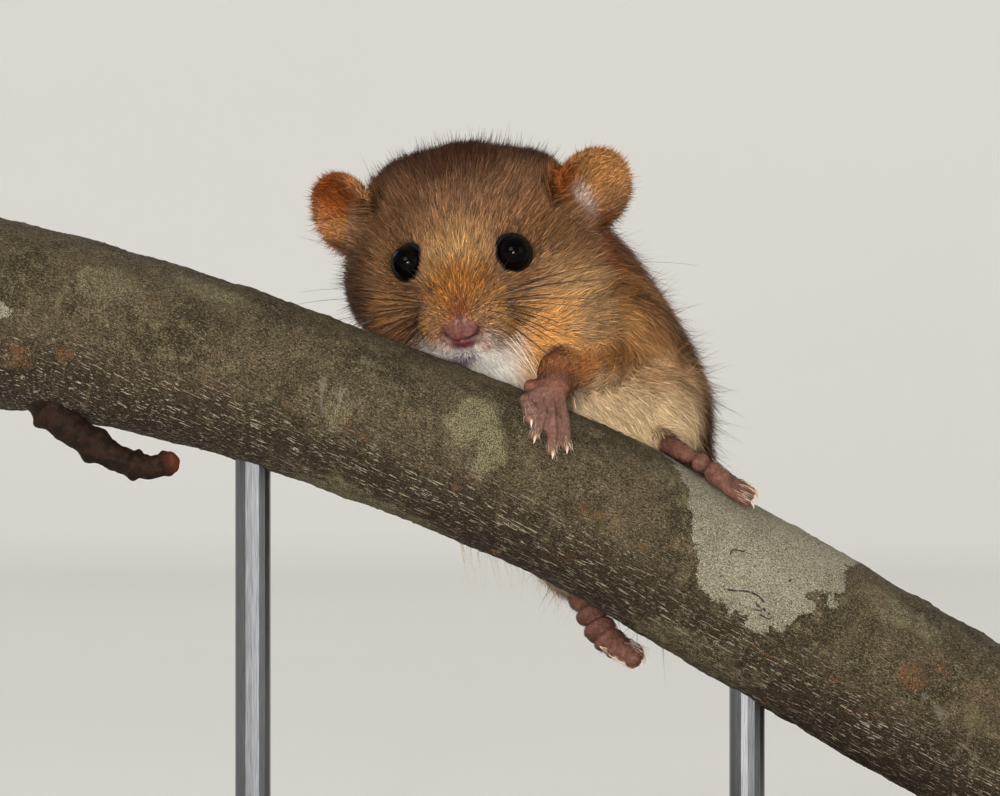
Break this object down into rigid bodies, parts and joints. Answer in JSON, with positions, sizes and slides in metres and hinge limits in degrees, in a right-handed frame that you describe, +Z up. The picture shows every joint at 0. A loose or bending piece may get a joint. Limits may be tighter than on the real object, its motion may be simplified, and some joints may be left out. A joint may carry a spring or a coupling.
{
  "type": "hazel dormouse model",
  "caption": "Life-size still model of a hazel dormouse peering over a sloping cut length of branch, on a flat base with upright rods.",
  "frame": {"origin": "on the underside of the base, midway between the two rods and straight below the branch", "axes": "+Z up; +X along the base towards the branch's lower end; the animal looks towards -Y"},
  "size_m": [0.0994, 0.058, 0.0683],
  "materials": {
    "coat": "soft fine fur, orange-brown above and cream below",
    "ear": "thin skin with short rusty hair",
    "eye": "polished black",
    "bare_skin": "bare pink-mauve skin",
    "bark": "grey-brown bark with pale lichen",
    "twig_bark": "reddish-brown bark",
    "base": "dark satin",
    "rod": "satin"
  },
  "bodies": {
    "root": {"head": "coat", "neck": "coat", "trunk": "coat", "foreleg_left": "coat", "foreleg_right": "coat", "hindleg_left": "coat", "hindleg_right": "coat", "tail_base": "coat", "tail_middle": "coat", "tail_tip": "coat", "ear_left": "ear", "ear_right": "ear", "eye_left": "eye", "eye_right": "eye", "forefoot_left": "bare_skin", "forefoot_right": "bare_skin", "hindfoot_left": "bare_skin", "hindfoot_right": "bare_skin", "perch_branch": "bark", "perch_twig": "twig_bark", "stand_base": "base", "stand_rod_long": "rod", "stand_rod_short": "rod"}
  },
  "joints": []
}
